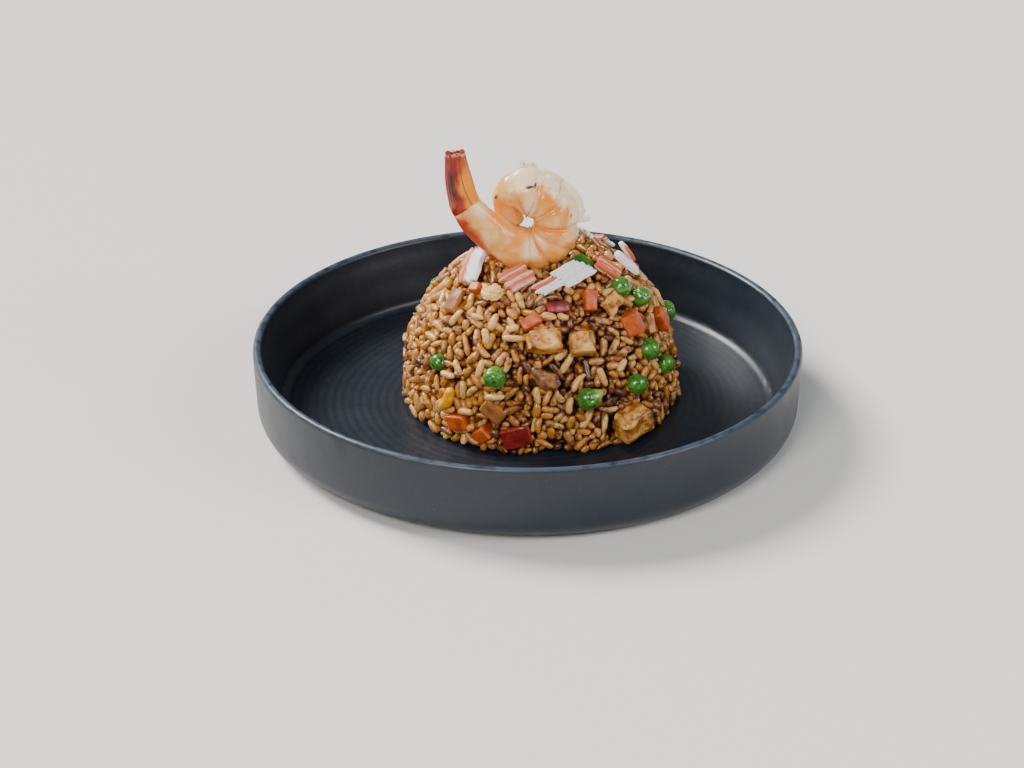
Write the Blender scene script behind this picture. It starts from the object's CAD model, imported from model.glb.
from math import ceil, cos, pi, radians, sin

import bmesh
import bpy
import numpy as np
from bpy.props import FloatProperty, FloatVectorProperty, IntProperty, PointerProperty
from mathutils import Matrix, Vector, noise
from mathutils.bvhtree import BVHTree
from mathutils.kdtree import KDTree


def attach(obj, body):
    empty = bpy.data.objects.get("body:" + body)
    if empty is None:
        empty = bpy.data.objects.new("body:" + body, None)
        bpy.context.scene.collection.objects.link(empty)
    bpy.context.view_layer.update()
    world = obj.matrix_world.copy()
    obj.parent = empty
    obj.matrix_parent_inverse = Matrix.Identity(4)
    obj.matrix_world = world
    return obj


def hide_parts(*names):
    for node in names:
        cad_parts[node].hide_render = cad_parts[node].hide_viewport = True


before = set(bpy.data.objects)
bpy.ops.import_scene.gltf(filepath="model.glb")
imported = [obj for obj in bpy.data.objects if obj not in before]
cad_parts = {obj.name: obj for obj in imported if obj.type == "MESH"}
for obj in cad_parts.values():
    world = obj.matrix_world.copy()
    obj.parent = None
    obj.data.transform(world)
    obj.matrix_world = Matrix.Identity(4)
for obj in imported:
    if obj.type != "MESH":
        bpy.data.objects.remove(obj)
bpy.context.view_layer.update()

bl_info = {
    "name": "Plate of fried rice",
    "version": (1, 0, 0),
    "blender": (4, 5, 0),
    "location": "3D View > Sidebar > Fried rice",
    "description": "Dresses the frame of a plated dome of fried rice with a prawn on top",
    "category": "Object",
}

MM = 0.001
ROOT = "root"


# Numbers and curves

def ease(low, high, value):
    """0 below low and 1 above high, with a smooth rise between them."""
    share = np.clip((np.asarray(value, float) - low) / (high - low), 0, 1)
    return share * share * (3 - 2 * share)


def band(low, full, fade, high, value):
    """1 from full to fade, with a smooth rise from low and a smooth fall to high."""
    return ease(low, full, value) * (1 - ease(fade, high, value))


def bell(middle, width, value):
    """1 at the middle, fading to 0 on both sides over the width."""
    return np.exp(-(((value - middle) / width) ** 2))


def cap(gone):
    """The girth of a rounded end, where gone runs from 0 at its start to 1 at its tip."""
    return np.sqrt(np.maximum(1 - np.clip(gone, 0, 1) ** 2, 0))


def through(stops, shares):
    """Points at shares from 0 to 1 of a smooth curve through the stops."""
    stops = np.asarray(stops, float)
    last = len(stops) - 1
    at = np.clip(np.asarray(shares, float), 0, 1) * last
    first = np.minimum(at.astype(int), last - 1)
    t = (at - first)[:, None]
    a, b, c, d = (stops[np.clip(first + step, 0, last)] for step in (-1, 0, 1, 2))
    bend = 2 * a - 5 * b + 4 * c - d
    return b + 0.5 * t * (c - a + t * (bend + t * (3 * (b - c) + d - a)))


def unit(vectors):
    return vectors / np.maximum(np.linalg.norm(vectors, axis=-1, keepdims=True), 1e-9)


def wobble(points, size, seed=0):
    """Smooth random values from -1 to 1 at points, changing over the given size."""
    shift = Vector((seed * 17.3, seed * 5.1, seed * 9.7))
    return np.array([noise.noise(Vector(p) / size + shift) for p in points])


# The mound that the rice was pressed into, in millimetres from the middle of its base

MOUND_PLACE = np.array([4.7, 5.0, 5.3])
MOUND_RADIUS, MOUND_HEIGHT, MOUND_FULLNESS = 50.6, 58.5, 2.35
UNEVEN = [
    # heading and climb in degrees, spread in degrees, rise in millimetres
    (22, 52, 7, -4.5), (12, 35, 7, -3.5), (28, 18, 7, -4), (46, 17, 7, -3), (72, 34, 16, -2),
    (80, 60, 14, 1.2), (-35, 30, 24, 0.8), (150, 35, 12, -2.5), (-140, 50, 12, -2), (-110, 20, 16, 1),
]


def way_to(heading, climb):
    """The direction at a heading, from the front (-Y) towards the right (+X), and a climb, in degrees."""
    h, c = radians(heading), radians(climb)
    return np.array([cos(c) * sin(h), -cos(c) * cos(h), sin(c)])


def mound_reach(ways):
    """How far the mound's surface lies from the middle of its base in each direction."""
    flat = np.hypot(ways[:, 0], ways[:, 1])
    dome = (flat / MOUND_RADIUS) ** MOUND_FULLNESS + (np.abs(ways[:, 2]) / MOUND_HEIGHT) ** MOUND_FULLNESS
    reach = dome ** (-1 / MOUND_FULLNESS)
    for heading, climb, spread, rise in UNEVEN:
        apart = np.arccos(np.clip(ways @ way_to(heading, climb), -1, 1))
        reach = reach + rise * bell(0, radians(spread), apart)
    return reach


def mound_point(ways, lift=0.0):
    """Points of the mound, which draws in a little at its foot, from the middle of its base."""
    points = ways * (mound_reach(ways) + lift)[:, None]
    points[:, :2] *= 1 - 0.05 * np.exp(-np.maximum(points[:, 2:], 0) / 4)
    return points


def on_mound(heading, climb, lift=0, lean=0, roll=0, spin=0):
    """A frame on the mound in metres: X level to the right, Y up the slope and Z outwards."""
    step = np.degrees(0.03)
    steps = ((step, 0), (-step, 0), (0, step), (0, -step))
    near = np.array([way_to(heading + aside, climb + up) for aside, up in steps])
    right, left, above, below = mound_point(near)
    across = Vector(right - left).normalized()
    out = across.cross(Vector(above - below)).normalized()
    up = out.cross(across)
    place = Vector(mound_point(way_to(heading, climb)[None])[0] + MOUND_PLACE) + out * lift
    turn = Matrix((across, up, out)).transposed().to_4x4()
    for angle, axis in ((lean, "X"), (roll, "Y"), (spin, "Z")):
        turn = turn @ Matrix.Rotation(radians(angle), 4, axis)
    return Matrix.Translation(place * MM) @ turn


# Shaping meshes

def deselect():
    for other in list(bpy.context.selected_objects):
        other.select_set(False)


def activate(piece):
    deselect()
    piece.select_set(True)
    bpy.context.view_layer.objects.active = piece


def started(name):
    """Names the primitive that was just added."""
    piece = bpy.context.object
    piece.name = piece.data.name = name
    return piece


class Shaping:
    """Edit mode on one piece with nothing selected; choose() selects vertices or edges by a test."""

    def __init__(self, piece, mode="VERT"):
        self.piece, self.mode = piece, mode

    def __enter__(self):
        activate(self.piece)
        bpy.ops.object.mode_set(mode="EDIT")
        bpy.ops.mesh.select_mode(type=self.mode)
        bpy.ops.mesh.select_all(action="DESELECT")
        return self

    def choose(self, test):
        shape = bmesh.from_edit_mesh(self.piece.data)
        parts = {"VERT": shape.verts, "EDGE": shape.edges}[self.mode]
        for part in parts:
            part.select_set(bool(test(part)))
        shape.select_flush_mode()
        bmesh.update_edit_mesh(self.piece.data)

    def all(self):
        bpy.ops.mesh.select_all(action="SELECT")

    def __exit__(self, *_):
        bpy.ops.object.mode_set(mode="OBJECT")


def of_each(piece, vector):
    """A vector of each of the piece's vertices, as rows."""
    flat = np.empty(len(piece.data.vertices) * 3)
    piece.data.vertices.foreach_get(vector, flat)
    return flat.reshape(-1, 3)


def corners(piece):
    """The piece's vertices in millimetres."""
    return of_each(piece, "co") / MM


def outwards(piece):
    return of_each(piece, "normal")


def lay(piece, points):
    """Moves the piece's vertices to points in millimetres."""
    piece.data.vertices.foreach_set("co", (np.asarray(points) * MM).ravel())
    piece.data.update()


def swell(piece, rise):
    """Moves each vertex along its normal by a rise in millimetres."""
    lay(piece, corners(piece) + outwards(piece) * np.asarray(rise)[:, None])


def finish_with(piece, kind, **settings):
    """Adds a modifier and applies it."""
    activate(piece)
    modifier = piece.modifiers.new(kind.title(), kind)
    for name, value in settings.items():
        setattr(modifier, name, value)
    bpy.ops.object.modifier_apply(modifier=modifier.name)


def subdivided(piece, levels=1):
    finish_with(piece, "SUBSURF", levels=levels, render_levels=levels)


def close_up(piece, gap=0.001):
    """Merges doubled vertices and turns the faces outwards."""
    with Shaping(piece) as edit:
        edit.all()
        bpy.ops.mesh.remove_doubles(threshold=gap * MM)
        bpy.ops.mesh.normals_make_consistent(inside=False)


def sheet(name, columns, rows, place):
    """A grid laid by place(u, v), which takes arrays from 0 to 1; they stay on the piece as its UV map."""
    deselect()
    bpy.ops.mesh.primitive_grid_add(x_subdivisions=columns, y_subdivisions=rows, size=1)
    piece = started(name)
    shares = of_each(piece, "co") + 0.5
    lay(piece, place(shares[:, 0], shares[:, 1]))
    return piece


def ball_along(name, sides, rings):
    """A ball of radius 1 with its poles on X."""
    deselect()
    bpy.ops.mesh.primitive_uv_sphere_add(segments=sides, ring_count=rings, radius=1, rotation=(0, pi / 2, 0))
    bpy.ops.object.transform_apply(location=False, rotation=True, scale=False)
    return started(name)


def block(name, size, cuts, edge, seed, skew=0.14):
    """A cut block of food: a cube with knocked-off edges and skewed corners."""
    deselect()
    bpy.ops.mesh.primitive_cube_add(size=1)
    piece = started(name)
    draw = np.random.default_rng(seed)
    lay(piece, corners(piece) * MM * np.array(size) * (1 - skew * draw.random((8, 3))))
    with Shaping(piece) as edit:
        edit.all()
        bpy.ops.mesh.bevel(offset=edge * MM, segments=2, affect="EDGES", profile=0.6)
        edit.all()
        bpy.ops.mesh.subdivide(number_cuts=cuts)
    return piece


def joined(name, parts):
    activate(parts[0])
    for part in parts:
        part.select_set(True)
    bpy.ops.object.join()
    return started(name)


def paint(piece, name, values):
    """Keeps a number for each vertex, for the finish to read."""
    layer = piece.data.attributes.new(name, "FLOAT", "POINT")
    layer.data.foreach_set("value", np.asarray(values, np.float32))


def serve(piece, material, node):
    """Gives a finished piece its material, its place in the record and the body that it rides on."""
    piece.data.materials.clear()
    piece.data.materials.append(material)
    piece.data.polygons.foreach_set("use_smooth", [True] * len(piece.data.polygons))
    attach(piece, ROOT)
    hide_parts(node)
    deselect()


# Finishes

class Num:
    """A number in a shader, on which Python's operators add Math nodes."""

    def __init__(self, finish, socket):
        self.finish, self.socket = finish, socket

    def math(self, operation, *values):
        inputs = dict(enumerate(values))
        return Num(self.finish, self.finish.node("Math", {"operation": operation}, inputs).outputs[0])

    def __add__(self, other):
        return self.math("ADD", self, other)

    def __sub__(self, other):
        return self.math("SUBTRACT", self, other)

    def __rsub__(self, other):
        return self.math("SUBTRACT", other, self)

    def __mul__(self, other):
        return self.math("MULTIPLY", self, other)

    def __pow__(self, other):
        return self.math("POWER", self, other)

    __radd__, __rmul__ = __add__, __mul__

    def sine(self):
        return self.math("SINE", self)

    def rise(self, low, high):
        """0 below low and 1 above high, with a smooth rise between them."""
        settings = {"interpolation_type": "SMOOTHSTEP"}
        node = self.finish.node("MapRange", settings, {"Value": self, "From Min": low, "From Max": high})
        return Num(self.finish, node.outputs[0])


class Finish:
    """A material whose shader is built by node(), with its surface set by surface()."""

    def __init__(self, name):
        self.material = bpy.data.materials.new(name)
        self.material.use_nodes = True
        self.tree = self.material.node_tree
        self.tree.nodes.clear()

    def node(self, kind, settings=None, inputs=None):
        made = self.tree.nodes.new("ShaderNode" + kind)
        for name, value in (settings or {}).items():
            setattr(made, name, value)
        for key, value in (inputs or {}).items():
            socket = made.inputs[key]
            if isinstance(value, Num):
                self.tree.links.new(value.socket, socket)
            elif isinstance(value, bpy.types.NodeSocket):
                self.tree.links.new(value, socket)
            elif socket.type == "RGBA" and len(value) == 3:
                socket.default_value = (*value, 1)
            else:
                socket.default_value = value
        return made

    def place(self, scale=(1, 1, 1)):
        """The point on the piece in millimetres, stretched by scale."""
        spot = self.node("TexCoord").outputs["Object"]
        inputs = {"Vector": spot, "Scale": tuple(1000 * side for side in scale)}
        return self.node("Mapping", {"vector_type": "POINT"}, inputs).outputs[0]

    def uv(self, scale=(1, 1, 1)):
        spot = self.node("TexCoord").outputs["UV"]
        return self.node("Mapping", {"vector_type": "POINT"}, {"Vector": spot, "Scale": scale}).outputs[0]

    def painted(self, name):
        return Num(self, self.node("Attribute", {"attribute_name": name}).outputs["Fac"])

    def noise(self, size, detail=3, where=None, distortion=0.0, roughness=0.5):
        """Random values from about 0.25 to 0.75 that change over a size in millimetres."""
        inputs = {
            "Vector": where or self.place(), "Scale": 1 / size, "Detail": detail,
            "Roughness": roughness, "Distortion": distortion,
        }
        return Num(self, self.node("TexNoise", {}, inputs).outputs[0])

    def cells(self, size):
        """0 in the middle of each lump of a size in millimetres, growing towards its neighbours."""
        inputs = {"Vector": self.place(), "Scale": 1 / size}
        return Num(self, self.node("TexVoronoi", {"feature": "F1"}, inputs).outputs["Distance"])

    def mix(self, share, first, second):
        """The first colour where the share is 0, and the second where it is 1."""
        settings = {"data_type": "RGBA", "clamp_factor": True}
        return self.node("Mix", settings, {0: share, 6: first, 7: second}).outputs[2]

    def bump(self, height, depth, over=None):
        """A Bump node for a height whose full range stands for a depth in millimetres."""
        inputs = {"Height": height, "Strength": 1.0, "Distance": depth * MM}
        if over is not None:
            inputs["Normal"] = over
        return self.node("Bump", {}, inputs).outputs[0]

    def surface(self, **inputs):
        """The shader: sockets by name, with underscores for spaces."""
        sockets = {name.replace("_", " "): value for name, value in inputs.items()}
        shader = self.node("BsdfPrincipled", {"subsurface_method": "RANDOM_WALK"}, sockets)
        out = self.node("OutputMaterial")
        self.tree.links.new(shader.outputs[0], out.inputs["Surface"])
        return self.material


def moist(weight, reach, depth, film, blur):
    """Sockets of food that light sinks into, by a depth in millimetres, under a wet film."""
    return {
        "Subsurface_Weight": weight, "Subsurface_Radius": reach, "Subsurface_Scale": depth * MM,
        "Coat_Weight": film, "Coat_Roughness": blur,
    }


# Sizes and colours that a user would change

PEA_RADIUS = 4.2


def length(name, text, default):
    return FloatProperty(name=name, description=text, default=default * MM, min=0, unit="LENGTH", precision=4)


def colour(name, text, default):
    return FloatVectorProperty(
        name=name, description=text, default=default, size=3, min=0, max=1, subtype="COLOR")


class PlateSettings(bpy.types.PropertyGroup):
    """The stoneware plate"""

    radius: length("Radius", "Outer radius at the lip", 100)
    height: length("Height", "Height of the lip above the table", 30)
    floor: length("Floor", "Height of the eating surface above the table", 5)
    lip: length("Lip", "Half the thickness of the wall at the lip", 1.6)
    glaze: colour("Glaze", "Colour of the dark glaze", (0.006, 0.0105, 0.018))
    worn: colour("Worn edge", "Paler colour on the lip and the rings", (0.05, 0.07, 0.1))


class RiceSettings(bpy.types.PropertyGroup):
    """The rice in the dome"""

    grains: IntProperty(name="Grains", description="Number of grains in the shell", default=3300, min=100)
    grain_length: length("Grain length", "Length of a middling cooked grain", 6.0)
    grain_width: length("Grain width", "Width of a middling cooked grain", 2.6)
    shell: length("Shell", "Depth of loose grains over the sauce-soaked core", 7.5)
    pale: colour("Pale grains", "Rice that took up little sauce", (0.72, 0.41, 0.12))
    golden: colour("Golden grains", "Rice fried golden", (0.5, 0.19, 0.018))
    brown: colour("Brown grains", "Rice soaked in sauce", (0.2, 0.055, 0.01))
    sauce: colour("Sauce", "Dark sauce between the grains", (0.035, 0.009, 0.003))


class PrawnSettings(bpy.types.PropertyGroup):
    """The prawn on top"""

    flesh: colour("Flesh", "Cooked flesh", (0.8, 0.37, 0.075))
    white: colour("White flesh", "Opaque flesh along the opened back", (0.94, 0.81, 0.56))
    orange: colour("Orange", "Orange in the creases", (0.86, 0.27, 0.008))
    red: colour("Red", "Red stain along the tail side", (0.5, 0.05, 0.012))
    shell: colour("Shell", "Red shell of the tail", (0.24, 0.005, 0.0015))


class PiecesSettings(bpy.types.PropertyGroup):
    """The pieces in the rice"""

    pea_radius: length("Pea radius", "Radius of a pea", PEA_RADIUS)
    pea: colour("Pea", "Skin of the peas", (0.028, 0.16, 0.012))
    carrot: colour("Carrot", "Diced carrot", (0.6, 0.1, 0.002))
    chicken: colour("Chicken", "Pale inside of the chicken", (0.74, 0.38, 0.08))
    seared: colour("Seared", "Browned outside of the chicken", (0.24, 0.07, 0.012))
    crab: colour("Crab stick", "White flesh of the crab stick", (0.93, 0.92, 0.93))
    crab_skin: colour("Crab stick skin", "Orange-red skin of the crab stick", (0.72, 0.13, 0.04))
    red_pepper: colour("Red pepper", "Skin of the red pepper", (0.25, 0.006, 0.004))
    green_pepper: colour("Green pepper", "Skin of the green pepper", (0.03, 0.17, 0.006))
    corn: colour("Corn", "Skin of the sweet corn", (0.98, 0.52, 0.002))
    onion: colour("Onion", "Browned onion", (0.42, 0.15, 0.02))
    egg: colour("Egg", "Scrambled egg", (0.86, 0.62, 0.25))


class StageSettings(bpy.types.PropertyGroup):
    """The floor, the light and the camera"""

    floor: colour("Floor", "Colour of the plain floor", (0.78, 0.77, 0.75))
    distance: length("Camera distance", "From the aim to the camera", 950)
    climb: FloatProperty(
        name="Camera climb", description="Angle of view above level", default=radians(27.2), subtype="ANGLE")
    lens: FloatProperty(name="Lens", description="Focal length in millimetres", default=90.7)


def settings_of(kind):
    return getattr(bpy.context.scene, kind)


# The plate

def arc(middle, radius, start, stop, steps):
    """Points round a middle, from one angle to another in degrees."""
    return [
        (middle[0] + radius * cos(radians(turn)), middle[1] + radius * sin(radians(turn)))
        for turn in np.linspace(start, stop, steps)
    ]


def plate_profile(plate):
    """Half the plate's section, from the middle underneath round to the middle of the floor."""
    r, h, floor, lip = (getattr(plate, name) / MM for name in ("radius", "height", "floor", "lip"))
    heel = 7.4
    return [
        (0, 1.6), (30, 1.6), (60, 1.6), (73.6, 1.6), (75.2, 1.2), (76, 0.35),
        (76.5, 0), (80, 0), (83.5, 0), (84.2, 0.3), (85.4, 1.45),
        *arc((r - 0.8 - heel, 9), heel, -86, 0, 9), (r - 0.55, 15), (r - 0.25, 21),
        *arc((r - lip, h - lip), lip, 0, 180, 13), (95.4, 24), (93.9, 18), (92.4, 12.5),
        *arc((87.5, floor + 4), 4, -4, -90, 7), *((out, floor) for out in (80, 70, 55, 35, 15, 0)),
    ]


def stoneware(plate):
    finish = Finish("dark_stoneware_glaze")
    spot = finish.node("SeparateXYZ", {}, {"Vector": finish.place()})
    x, y, z = (Num(finish, socket) for socket in spot.outputs)
    around = (x * x + y * y) ** 0.5
    rings = (around * 1.9 + finish.noise(30, 2) * 3).sine() * 0.5 + 0.5
    mottle = finish.noise(14, 6, roughness=0.62)
    speck = finish.noise(0.9, 2)
    lip = z.rise(28.9, 29.9)
    worn = lip * finish.noise(5, 4).rise(0.32, 0.55)
    smoky = tuple(0.5 * dark + 0.1 * pale for dark, pale in zip(plate.glaze, plate.worn))
    shade = finish.mix(mottle.rise(0.35, 0.7), tuple(plate.glaze), smoky)
    shade = finish.mix(rings * mottle * 0.16, shade, tuple(plate.worn))
    shade = finish.mix(speck.rise(0.66, 0.74) * 0.4, shade, tuple(plate.worn))
    shade = finish.mix(worn * 0.8 + lip * 0.15, shade, tuple(plate.worn))
    under = finish.bump(rings * 0.5 + finish.noise(22, 3), 0.1)
    return finish.surface(
        Base_Color=shade,
        Roughness=mottle * 0.25 + speck * 0.08 + 0.26,
        Normal=finish.bump(finish.noise(1.1, 3), 0.035, under),
        Specular_IOR_Level=0.42, Coat_Weight=0.12, Coat_Roughness=0.3,
    )


class FRIEDRICE_OT_plate(bpy.types.Operator):
    """Spin the walled plate from its section and glaze it"""

    bl_idname = "fried_rice.plate"
    bl_label = "Plate"

    def execute(self, context):
        plate = settings_of("rice_plate")
        profile = plate_profile(plate)
        deselect()
        bpy.ops.mesh.primitive_grid_add(x_subdivisions=len(profile) - 1, y_subdivisions=1, size=1)
        piece = started("stoneware_plate")
        with Shaping(piece) as edit:
            edit.choose(lambda vertex: vertex.co.y > 0)
            bpy.ops.mesh.delete(type="VERT")
        order = np.argsort(np.argsort(corners(piece)[:, 0]))
        section = np.array(profile)[order]
        lay(piece, np.column_stack([section[:, 0], 0 * section[:, 0], section[:, 1]]))
        with Shaping(piece) as edit:
            edit.all()
            bpy.ops.mesh.spin(steps=144, angle=2 * pi, center=(0, 0, 0), axis=(0, 0, 1))
        close_up(piece, 0.01)
        rings = corners(piece)
        wave = 0.12 * wobble(rings, 40) * ease(8, 26, rings[:, 2])
        lay(piece, rings + np.column_stack([0 * wave, 0 * wave, np.minimum(wave, 0)]))
        finish_with(piece, "WEIGHTED_NORMAL")
        serve(piece, stoneware(plate), "plate")
        return {"FINISHED"}


# Rice

PACKING_ROUNDS = 90
SQUASH = 0.94  # how near grains may come, as a share of their two radii
SNUG = 0.6  # how near a grain may come to another piece, as a share of its radius
BURIED = 0.35  # millimetres inside another piece, past which a grain is left out
PROUDEST = 1.2  # millimetres over the mound, past which a grain's middle is left out
TOUCHING = 7.5  # millimetres between the middles of two grains, within which they are pushed apart
OUTER_GRAINS = 1720  # the grains nearest to the surface, which get the finer model
CORE_DEPTH = 5.2  # millimetres from the mound's surface down to the soaked core
LOWEST = 5.02  # millimetres over the table that a grain may come down to, just clear of the plate's floor


def grain_mesh(name, sides, rings):
    """One grain along X, 2 long and 2 across, blunt at one end and with the germ's notch at the other."""
    piece = ball_along(name, sides, rings)
    shape = of_each(piece, "co")
    along = shape[:, 0]
    girth = np.sqrt(np.maximum(1 - np.abs(along) ** 3.8, 0))
    ring = unit(shape[:, 1:]) * girth[:, None] * (1 - 0.09 * along)[:, None]
    notch = 1 - 0.35 * bell(0.82, 0.2, along) * (ring[:, 1] > 0)
    lay(piece, np.column_stack([along, ring[:, 0], ring[:, 1] * notch]) / MM)
    return piece


def piece_tree(skipped):
    """The frame's pieces other than those skipped, as one tree for nearest points, in millimetres."""
    points, faces = [], []
    for name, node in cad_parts.items():
        if name in skipped:
            continue
        start = len(points)
        points += [vertex.co / MM for vertex in node.data.vertices]
        faces += [[start + corner for corner in face.vertices] for face in node.data.polygons]
    return BVHTree.FromPolygons(points, faces)


def scattered(rice, draw):
    """Grains before they settle: middles, directions, half lengths and radii."""
    count = rice.grains
    turn, rise = 2 * pi * draw.random(count), draw.random(count)
    ways = unit(np.column_stack([np.sin(turn), -np.cos(turn), 1.16 * rise / np.sqrt(1.0001 - rise ** 2)]))
    depth = rice.shell / MM * draw.random(count)
    middles = mound_point(ways, -depth) + MOUND_PLACE
    lay_flat = np.cross(ways, unit(draw.normal(size=(count, 3))))
    directions = unit(unit(lay_flat) + ways * draw.normal(0, 0.5, (count, 1)))
    size = np.clip(draw.normal(1, 0.18, count), 0.65, 1.4)
    size[draw.random(count) < 0.24] *= 0.6
    radii = rice.grain_width / MM / 2 * np.clip(draw.normal(1, 0.1, count), 0.8, 1.2)
    halves = rice.grain_length / MM / 2 * size - radii * 0.75
    return middles, directions, np.maximum(halves, 0.5), radii


def nearest_between(p, u, a, q, v, b):
    """Nearest points of pairs of short rods, given by middles, directions and half lengths."""
    gap = p - q
    d = np.einsum("ij,ij->i", u, v)
    du, dv = np.einsum("ij,ij->i", gap, u), np.einsum("ij,ij->i", gap, v)
    s = np.clip((d * dv - du) / np.maximum(1 - d * d, 1e-6), -a, a)
    t = np.clip(d * s + dv, -b, b)
    s = np.clip(d * t - du, -a, a)
    return s, t


def settled(rice, draw):
    """Grains pushed apart from each other, out of the other pieces and into the mould's shape."""
    middles, ways, halves, radii = scattered(rice, draw)
    tree = piece_tree({"rice", "plate"})
    count = len(middles)
    from_base = middles - MOUND_PLACE
    heading = np.degrees(np.arctan2(from_base[:, 0], -from_base[:, 1]))
    loose = (0.9 + 1.1 * ease(20, 75, heading)) * draw.random(count)
    for turn in range(PACKING_ROUNDS):
        if turn % 6 == 0:
            cloud = KDTree(count)
            for k, middle in enumerate(middles):
                cloud.insert(middle, k)
            cloud.balance()
            one, two = np.array([
                (k, other) for k in range(count)
                for _, other, _ in cloud.find_range(middles[k], TOUCHING) if other > k
            ]).T
        s, t = nearest_between(middles[one], ways[one], halves[one], middles[two], ways[two], halves[two])
        gap = middles[one] + ways[one] * s[:, None] - middles[two] - ways[two] * t[:, None]
        apart = np.linalg.norm(gap, axis=1)
        press = np.maximum(SQUASH * (radii[one] + radii[two]) - apart, 0)
        push = unit(gap) * (0.24 * press)[:, None]
        for who, where, sign in ((one, s, 1), (two, t, -1)):
            turned = sign * push * (where / halves[who] ** 2)[:, None] * 0.8
            for axis in range(3):
                middles[:, axis] += np.bincount(who, sign * push[:, axis], count)
                ways[:, axis] += np.bincount(who, turned[:, axis], count)
        ways = unit(ways)
        for end in (-1, 1):
            tips = middles + ways * (end * halves)[:, None] - MOUND_PLACE
            reach = np.linalg.norm(tips, axis=1)
            limit = mound_reach(unit(tips)) + loose - radii * 0.95
            back = unit(tips) * (np.clip(reach - limit, 0, 2.5) * 0.5)[:, None]
            low = np.maximum(radii - 0.1 - tips[:, 2], 0) * 0.5
            shift = np.column_stack([np.zeros((count, 2)), low]) - back
            middles += shift
            ways = unit(ways + shift * (end / halves)[:, None] * 0.5)
        sunk = mound_reach(unit(middles - MOUND_PLACE)) - np.linalg.norm(middles - MOUND_PLACE, axis=1)
        middles += unit(middles - MOUND_PLACE) * (np.maximum(sunk - rice.shell / MM, 0) * 0.3)[:, None]
        if turn % 5 == 4:
            for k in range(count):
                for share in (-0.9, 0, 0.9):
                    point = Vector(middles[k] + ways[k] * halves[k] * share)
                    hit, normal, _, apart = tree.find_nearest(point, 4.5)
                    if hit is None:
                        continue
                    inside = (point - hit).dot(normal) < 0
                    need = radii[k] * SNUG + (apart if inside else -apart)
                    if need > 0:
                        middles[k] += np.array(normal if inside else (point - hit).normalized()) * need * 0.6
    proud = np.linalg.norm(middles - MOUND_PLACE, axis=1) - mound_reach(unit(middles - MOUND_PLACE))
    clear = np.ones(count, bool)
    for k in range(count):
        for share in (-1, 0, 1):
            point = Vector(middles[k] + ways[k] * halves[k] * share)
            hit, normal, _, apart = tree.find_nearest(point, 12)
            if hit is not None and (point - hit).dot(normal) < 0 and apart > BURIED:
                clear[k] = False
    kept = clear & (proud < PROUDEST)
    return middles[kept], ways[kept], halves[kept], radii[kept]


LAID_GRAINS = [
    # pale grains that lie on the others: heading, climb, spin and length
    (-13.8, 45.4, 4, 8.4), (9.2, 40.6, 40, 5.6), (12.1, 37.7, 58, 8.8), (-19.5, 23.7, 12, 7.6),
    (4.2, 54.1, -5, 5.6), (13, 54.5, -12, 4.8), (16.2, 29.7, 48, 7.7), (27.1, 30.3, -72, 7.7),
    (-42.7, 27.2, 4, 6.7), (-38.3, 31.1, -50, 6.3), (-27.3, 32.9, 84, 7), (-49.7, 47.3, 75, 7),
    (-26.6, 50, 84, 6.7), (-31.9, 15.6, 6, 6.3), (-30.3, 8.8, 35, 5.6), (11.5, 21.2, 78, 6.3),
    (37.7, 32.3, 40, 5.2), (-15.4, 48.9, 20, 5), (-1.8, 25.7, -80, 6.3), (-36.9, 50.1, 5, 5.6),
    (48.7, 58.1, -4, 5.6), (-28.3, 44.5, -65, 5.6), (150, 34, 20, 7), (-160, 44, -40, 6.4),
    (100, 40, 70, 6.6), (-95, 22, 10, 7),
]


def with_laid(rice, middles, ways, halves, radii):
    """The packed grains and after them those laid on top, with a last column that is 1 for the latter."""
    places = [on_mound(heading, climb, 0.5, 0, 0, spin) for heading, climb, spin, _ in LAID_GRAINS]
    radius = rice.grain_width / MM / 2
    half = np.array([long / 2 - radius * 0.9 for *_, long in LAID_GRAINS])
    fresh = np.append(np.zeros(len(middles)), np.ones(len(places)))
    middles = np.vstack([middles, [place.translation / MM for place in places]])
    ways = np.vstack([ways, [place.col[0][:3] for place in places]])
    return middles, ways, np.append(halves, half), np.append(radii, np.full(len(places), radius)), fresh


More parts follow.
